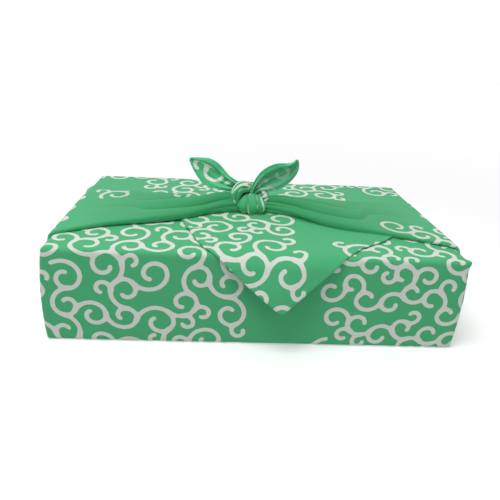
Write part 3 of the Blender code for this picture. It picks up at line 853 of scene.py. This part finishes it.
def ear(name, table, side, sides, rim_from):
    """One ear: a leaf of cloth from the knot out to the corner. Beyond the share rim_from of its
    half width, its upper rim is turned over to the front and shows the cloth's plain right side."""
    column = columns(EAR_COLUMNS, table)
    corners = np.column_stack((column["x"], column["y"], column["z"]))
    station = np.concatenate(([0.0], np.cumsum(np.linalg.norm(np.diff(corners, axis=0), axis=1))))
    length = station[-1]
    across, along = 56, 90
    bm, share, far = grid_of(across, along)
    run = far * length
    middle = np.column_stack([smooth(run, station, column[key]) for key in ("x", "y", "z")])
    ahead = np.column_stack([smooth(np.minimum(run + 1, length), station, column[key])
                             for key in ("x", "y", "z")])
    behind = np.column_stack([smooth(np.maximum(run - 1, 0.0), station, column[key])
                              for key in ("x", "y", "z")])
    forward = ahead - behind
    forward /= np.linalg.norm(forward, axis=1)[:, None]
    front = np.array((0.0, -1.0, 0.0))
    facing = front - forward * (forward @ front)[:, None]
    facing /= np.linalg.norm(facing, axis=1)[:, None]
    width_way = np.cross(facing, forward)
    width_way *= np.sign(width_way[:, 2])[:, None]
    roll = np.radians(smooth(run, station, column["roll"]))
    turned = width_way * np.cos(roll)[:, None] - facing * np.sin(roll)[:, None]
    facing = np.cross(turned, forward)
    facing *= -np.sign(facing[:, 1])[:, None]
    half = smooth(run, station, column["half_width"])
    cup = smooth(run, station, column["cup"])
    q = 2 * share - 1
    gather = np.exp(-run / 14.0)
    pleat = 1.6 * gather * np.cos(3.5 * np.pi * q + 0.6) + 0.4 * np.sin(run / 6.0 + 2.0 * q)
    lean = cup * q * q + 0.25 * cup * np.cos(3 * np.pi * q) + pleat
    lean = lean + hem_height((1 - np.abs(q)) * half)
    rim = 1 / (1 + np.exp((rim_from - q) / 0.012))
    lean = lean + rim * (RIM_STEP - 1.6 * np.clip(q - rim_from, 0.0, 1.0))
    places = middle + turned * (half * q)[:, None] + facing * lean[:, None]
    spread = half + 9.0 * gather
    flat_u = side * (HALF_DIAGONAL - length + run)
    flat_v = spread * q * 1.1 + rim * HALF_DIAGONAL
    right_side = sides.index(EAR_RIGHT_SIDE_PAINTED_LIGHT)
    for face in bm.faces:
        if min(q[vert.index] for vert in face.verts) > rim_from:
            face.material_index = right_side
    # Painted shade: a shadow line under the turned rim, and darker pleats at the gathered root
    painted_rim_shadow = 0.45 * np.exp(-((q - rim_from) / 0.05) ** 2)
    deep = 0.5 * gather ** 2 * (1 + np.cos(3.5 * np.pi * q + 0.6)) / 2 + painted_rim_shadow
    flat = np.column_stack((flat_u, flat_v))
    obj = cloth_object(name, bm, places, flat, sides, (0, -1, 0), deep)
    thicken(obj, CLOTH_THICKNESS, 0.0)
    return obj


# The ears' cotton is a lighter copy of the cloth's: painted light on the thin, upright ears
EAR_RIGHT_SIDE_PAINTED_LIGHT = cotton("ear_cotton_painted_light", (0.115, 0.610, 0.300, 1.0), (0.095, 0.550, 0.260, 1.0),
                        (0.88, 0.88, 0.82, 1.0), 1.0)
EAR_WRONG_SIDE_PAINTED_LIGHT = cotton("ear_cotton_wrong_side_painted_light", (0.140, 0.520, 0.290, 1.0),
                        (0.110, 0.450, 0.245, 1.0), (0.50, 0.68, 0.56, 1.0), 0.60)
ear("left_ear", LEFT_EAR, -1, (EAR_RIGHT_SIDE_PAINTED_LIGHT, EAR_WRONG_SIDE_PAINTED_LIGHT), 0.52)
ear("right_ear", RIGHT_EAR, 1, (EAR_WRONG_SIDE_PAINTED_LIGHT, EAR_RIGHT_SIDE_PAINTED_LIGHT), 0.50)


# The studio: a plain pale floor, a pale wall far behind, one soft light high up on the left and
# to the front, and pale light all round.
def studio_part(name, upright, near_glow, glow):
    """A wide pale sheet of the studio, level, or upright at the back. It glows a little, near the
    object by near_glow of its whole glow, and farther away by half of it."""
    bm = bmesh.new()
    bmesh.ops.create_grid(bm, x_segments=1, y_segments=1, size=4.0)
    if upright:
        bmesh.ops.rotate(bm, matrix=Matrix.Rotation(math.pi / 2, 3, "X"), verts=bm.verts)
        bmesh.ops.translate(bm, vec=(0, 4.0, 4.0), verts=bm.verts)
    mesh = bpy.data.meshes.new(name)
    bm.to_mesh(mesh)
    bm.free()
    part = bpy.data.objects.new(name, mesh)
    bpy.context.scene.collection.objects.link(part)
    finish = Finish(name + "_paint")
    finish.shader.inputs["Base Color"].default_value = (0.86, 0.86, 0.86, 1.0)
    finish.shader.inputs["Roughness"].default_value = 0.9
    finish.shader.inputs["Specular IOR Level"].default_value = 0.0
    place = finish.node("ShaderNodeTexCoord").outputs["Object"]
    away = finish.node("ShaderNodeVectorMath", {"operation": "LENGTH"}, {0: place})
    far = ((Number(finish, away.outputs["Value"]) - 0.45) / 0.9).clamped()
    pale = finish.mix(far, (near_glow, near_glow, near_glow, 1.0), (0.5, 0.5, 0.5, 1.0))
    finish.feed(finish.shader.inputs["Emission Color"], pale)
    finish.shader.inputs["Emission Strength"].default_value = glow
    mesh.materials.append(finish.material)
    part.visible_diffuse = False


def soft_light(name, place, aim, size, power):
    data = bpy.data.lights.new(name, "AREA")
    data.shape = "DISK"
    data.size = size
    data.energy = power
    lamp = bpy.data.objects.new(name, data)
    lamp.location = place
    lamp.rotation_euler = (Vector(aim) - Vector(place)).to_track_quat("-Z", "Y").to_euler()
    bpy.context.scene.collection.objects.link(lamp)


studio_part("studio_floor", False, 0.22, 1.0)
studio_part("studio_wall", True, 0.5, 1.6)
soft_light("key_light", (-0.30, -0.38, 1.20), (0.0, 0.0, 0.05), 0.6, 8.2)

# Air light: a touch brighter from behind than from the front
AIR_FRONT = 0.60
AIR_BACK = 0.62
world = bpy.data.worlds.new("studio_air")
world.use_nodes = True
world_nodes = world.node_tree.nodes
direction = world_nodes.new("ShaderNodeTexCoord")
parts = world_nodes.new("ShaderNodeSeparateXYZ")
brightness = world_nodes.new("ShaderNodeMapRange")
brightness.inputs["From Min"].default_value = -1.0
brightness.inputs["To Min"].default_value = AIR_FRONT
brightness.inputs["To Max"].default_value = AIR_BACK
world.node_tree.links.new(direction.outputs["Generated"], parts.inputs[0])
world.node_tree.links.new(parts.outputs["Y"], brightness.inputs["Value"])
world.node_tree.links.new(brightness.outputs[0], world_nodes["Background"].inputs["Strength"])
world_nodes["Background"].inputs["Color"].default_value = (1.0, 1.0, 1.0, 1.0)
bpy.context.scene.world = world
bpy.context.scene.view_settings.view_transform = "Standard"

# The camera, at the photograph's angle
PICTURE = 500
FOCAL_PIXELS = 507
SENSOR = 36.0
CAMERA_PLACE = (-0.02905, -0.41393 + MIDDLE_SHIFT * MM, 0.21022)
CAMERA_TURN = (67.237, -3.159, -2.507)
camera_data = bpy.data.cameras.new("camera")
camera_data.sensor_width = SENSOR
camera_data.lens = SENSOR * FOCAL_PIXELS / PICTURE
camera_data.clip_start = 0.02
camera = bpy.data.objects.new("camera", camera_data)
camera.location = CAMERA_PLACE
camera.rotation_euler = [math.radians(turn) for turn in CAMERA_TURN]
bpy.context.scene.collection.objects.link(camera)
bpy.context.scene.camera = camera
